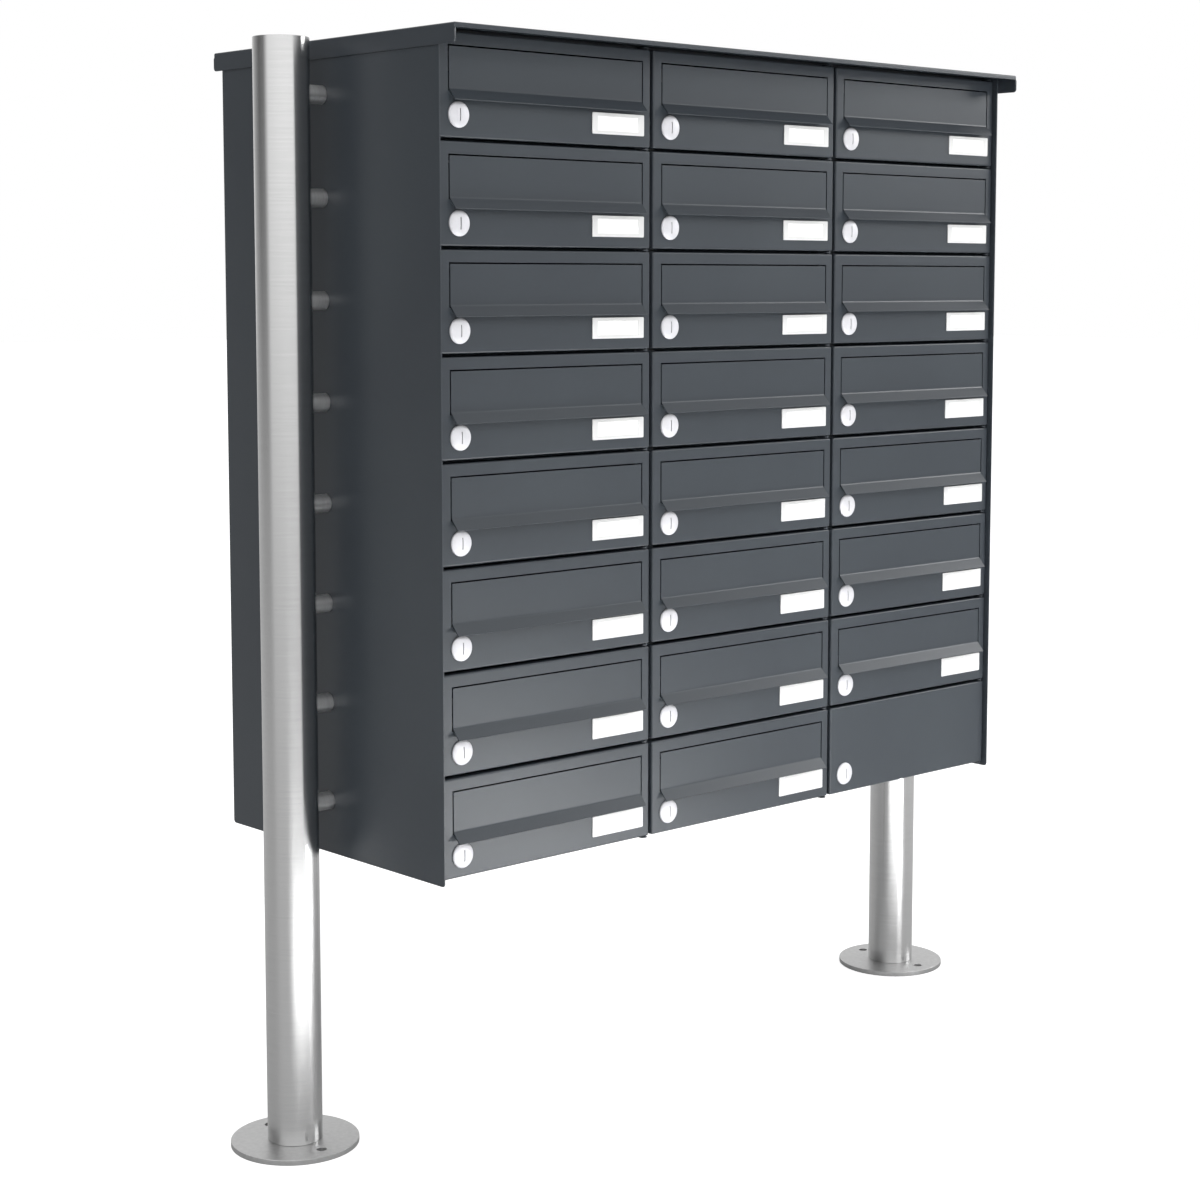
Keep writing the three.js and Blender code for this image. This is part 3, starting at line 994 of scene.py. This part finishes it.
def cap_roof(name):
    """A sheet folded down all round: deep at the sides, shallow at the front and rear."""
    low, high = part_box("roof")
    lip_z = high.z - ROOF_LIP

    def on_side_rim(edge):
        at_side = near(middle(edge).x, low.x) or near(middle(edge).x, high.x)
        return at_side and near(middle(edge).z, lip_z)

    sheet = block(name, (low.x, low.y, lip_z), high)
    with editing(sheet):
        pick(sheet, "FACE", lambda face: near(middle(face).z, lip_z))
        bpy.ops.mesh.delete(type="FACE")
        pick(sheet, "EDGE", on_side_rim)
        pull((0, 0, low.z - lip_z))
        pick(sheet, "VERT", lambda corner: near(corner.co.z, low.z))
        bpy.ops.mesh.bevel(offset=CORNER_R, segments=6, affect="VERTICES")
        pick(sheet, "EDGE", is_fold)
        bpy.ops.mesh.bevel(offset=ROOF_BEND, segments=5, affect="EDGES")
    face_out(sheet)
    thicken(sheet, CASE_SHEET)
    soften(sheet, 0.3 * MM, 2)
    return sheet


for side in SIDES:
    panel_node = f"{side}_side_panel"
    panel_sheet = side_panel(f"{side}_panel_sheet", panel_node)
    finish_piece(panel_sheet, COAT, "stand", "powder_coat", panel_node)
finish_piece(cap_roof("roof_sheet"), COAT, "stand", "powder_coat", "roof")

# ---- posts ----

POST_SIDES = 128
TUBE_WALL = 2 * MM
CAP_GROOVE = 0.25 * MM
FOOT_HOLLOW = 20 * MM  # how far the open foot of a post is hollow, above its plate
ANCHOR_HOLE_R = 5.5 * MM
ANCHOR_OUT = 50 * MM  # from the post's axis
RAIL_THICK = 1.7 * MM
SADDLE_R = 30.35 * MM  # the curve cut in the end of each stud, just clear of the post
SADDLE_REACH = 20 * MM


def round_blank(name, node):
    """An upright cylinder that fills a CAD node's box, with its two corners and its radius."""
    low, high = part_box(node)
    centre = middle_of(node)
    radius = (high.y - low.y) / 2
    start, end = (centre.x, centre.y, low.z), (centre.x, centre.y, high.z)
    return rod(name, start, end, radius, POST_SIDES), low, high, radius


def steel_post(name, node):
    """A tube with its cap welded in and ground flush, shown by a fine ring near the rim."""
    post, low, high, radius = round_blank(name, node)
    centre = middle_of(node)

    def on_top_rim(edge):
        out = (middle(edge) - centre).xy.length
        return near(middle(edge).z, high.z) and near(out, radius, 0.1 * MM)

    with editing(post):
        pick(post, "FACE", lambda face: near(middle(face).z, high.z) and len(face.verts) > 4)
        bpy.ops.mesh.inset(thickness=TUBE_WALL)
        bpy.ops.mesh.inset(thickness=CAP_GROOVE, depth=-CAP_GROOVE)
        bpy.ops.mesh.inset(thickness=CAP_GROOVE, depth=CAP_GROOVE)
        pick(post, "FACE", lambda face: near(middle(face).z, low.z) and len(face.verts) > 4)
        bpy.ops.mesh.inset(thickness=TUBE_WALL)
        pull((0, 0, FOOT_HOLLOW))
        pick(post, "EDGE", on_top_rim)
        bpy.ops.mesh.bevel(offset=0.8 * MM, segments=4, affect="EDGES")
    face_out(post)
    smooth(post)
    return post


def base_plate(name, node):
    """A round plate with two anchor holes and softened edges."""
    plate, low, high, _ = round_blank(name, node)
    x, y = middle_of(node).xy
    holes = [
        rod("anchor_drill", (x, hole_y, low.z - MM), (x, hole_y, high.z + MM), ANCHOR_HOLE_R, 40)
        for hole_y in (y - ANCHOR_OUT, y + ANCHOR_OUT)
    ]
    drill(plate, holes)
    soften(plate, 0.6 * MM, 3)
    return plate


def spacer_studs(name, side):
    """Eight studs on a flat rail, each cut at its end to lie against the post."""
    low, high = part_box(f"{side}_standoffs")
    post = middle_of(f"{side}_post")
    outward = 1 if side == "right" else -1
    rail_inner = low.x if side == "right" else high.x
    rail_outer = rail_inner + outward * RAIL_THICK
    left, right = sorted((rail_inner, rail_outer))
    rail = block("rail", (left, low.y, low.z), (right, high.y, high.z))
    soften(rail, 0.2 * MM)
    studs = []
    for z in stud_heights():
        stud_end = (post.x - outward * SADDLE_REACH, post.y, z)
        stud = rod("stud", (rail_outer, post.y, z), stud_end, STUD_R, 48)
        saddle_low = (post.x, post.y, z - SADDLE_REACH)
        saddle_high = (post.x, post.y, z + SADDLE_REACH)
        drill(stud, [rod("saddle", saddle_low, saddle_high, SADDLE_R, 96)])
        soften(stud, 0.25 * MM, 2)
        studs.append(stud)
    return join([rail, *studs], name)


for side in SIDES:
    post_node, plate_node, stud_node = f"{side}_post", f"{side}_base_plate", f"{side}_standoffs"
    tube = steel_post(f"{side}_post_tube", post_node)
    finish_piece(tube, POST_STEEL, "stand", "brushed_steel", post_node)
    foot = base_plate(f"{side}_foot_plate", plate_node)
    finish_piece(foot, PLATE_STEEL, "stand", "satin_steel", plate_node)
    spacers = spacer_studs(f"{side}_spacer_studs", side)
    finish_piece(spacers, STUD_STEEL, "stand", "brushed_steel", stud_node)

# ---- studio ----

WHITE = (1, 1, 1, 1)
FLOOR_SIZE = 60  # metres
FLOOR_GREY = 0.5
FLOOR_GLOW = 0.75  # seen by the camera only


def make_floor():
    """A pale floor that the camera sees as white, so that the stand is shown on plain white."""
    deselect()
    bpy.ops.mesh.primitive_plane_add(size=FLOOR_SIZE, location=(0, 0, 0))
    floor = named("studio_floor")
    material, tree, shader, _ = new_finish("pale_floor", Roughness=0.9)
    shader.inputs["Base Color"].default_value = (FLOOR_GREY, FLOOR_GREY, FLOOR_GREY, 1)
    shader.inputs["Emission Color"].default_value = WHITE
    seen = tree.nodes.new("ShaderNodeLightPath").outputs["Is Camera Ray"]
    tree.links.new(maths(tree, "MULTIPLY", seen, FLOOR_GLOW), shader.inputs["Emission Strength"])
    floor.data.materials.append(material)


def area_light(name, location, target, size, power):
    """A rectangular lamp that faces its target and isn't seen by the camera."""
    data = bpy.data.lights.new(name, "AREA")
    data.shape = "RECTANGLE"
    data.size, data.size_y = size
    data.energy = power
    lamp = bpy.data.objects.new(name, data)
    bpy.context.scene.collection.objects.link(lamp)
    lamp.location = location
    lamp.rotation_euler = (Vector(target) - Vector(location)).to_track_quat("-Z", "Y").to_euler()
    lamp.visible_camera = False
    return lamp


# How bright the studio walls are, by degrees from straight in front of the stand towards its right.
WALLS = (
    (-90, 1.2),
    (-45, 1.4),
    (10, 1.4),
    (32, 0.6),
    (50, 0.1),
    (75, 0.3),
    (105, 0.9),
    (160, 0.9),
    (190, 0.5),
    (225, 0.1),
    (250, 0.2),
)
CEILING = 1.2
# The sines of the heights between which the walls turn into the ceiling.
WALL_TOP, CEILING_EDGE = 0.45, 0.8

# Each lamp's place, the point it faces, its size in metres and its watts.
LOW_PANEL = ((0.45, -1.25, 0.03), (0.45, -1.1, 1.0), (0.5, 0.5), 12)
RIGHT_SOFTBOX = ((3.4, -1.6, 2.2), (0, 0, 0.8), (1.4, 1.4), 55)
FLOOR_STRIP = ((-0.2, -0.7, 2.6), (-0.2, -0.7, 0), (1.5, 0.2), 16)
STRIP_SPREAD = 15  # degrees


def make_world():
    """A room with a bright ceiling and walls that are brightest in front, on plain white."""
    world = bpy.data.worlds.new("studio")
    world.use_nodes = True
    bpy.context.scene.world = world
    tree = world.node_tree
    look = tree.nodes.new("ShaderNodeTexCoord").outputs["Generated"]
    around = add(tree, "ShaderNodeTexGradient", gradient_type="RADIAL")
    tree.links.new(look, around.inputs["Vector"])
    brightest = max(value for angle, value in WALLS)
    stops = [((angle + 90) / 360, value / brightest) for angle, value in WALLS]
    walls = ramp(tree, around.outputs["Fac"], [*stops, (1.0, stops[0][1])])
    height = tree.nodes.new("ShaderNodeSeparateXYZ")
    tree.links.new(look, height.inputs["Vector"])
    rise = add(tree, "ShaderNodeMapRange", From_Min=WALL_TOP, From_Max=CEILING_EDGE)
    tree.links.new(height.outputs["Z"], rise.inputs["Value"])
    overhead = rise.outputs[0]
    wall_light = maths(tree, "MULTIPLY", walls, brightest)
    wall_part = maths(tree, "MULTIPLY", wall_light, maths(tree, "SUBTRACT", 1, overhead))
    room = maths(tree, "ADD", wall_part, maths(tree, "MULTIPLY", overhead, CEILING))
    seen = tree.nodes.new("ShaderNodeLightPath").outputs["Is Camera Ray"]
    background = tree.nodes["Background"]
    tree.links.new(maths(tree, "MAXIMUM", room, seen), background.inputs["Strength"])
    background.inputs["Color"].default_value = WHITE


def make_studio():
    """The room, the floor and the three lamps."""
    bpy.context.scene.view_settings.view_transform = "Standard"
    make_world()
    make_floor()
    area_light("low_panel", *LOW_PANEL)
    area_light("right_softbox", *RIGHT_SOFTBOX)
    floor_strip = area_light("floor_strip", *FLOOR_STRIP)
    floor_strip.data.spread = math.radians(STRIP_SPREAD)


make_studio()
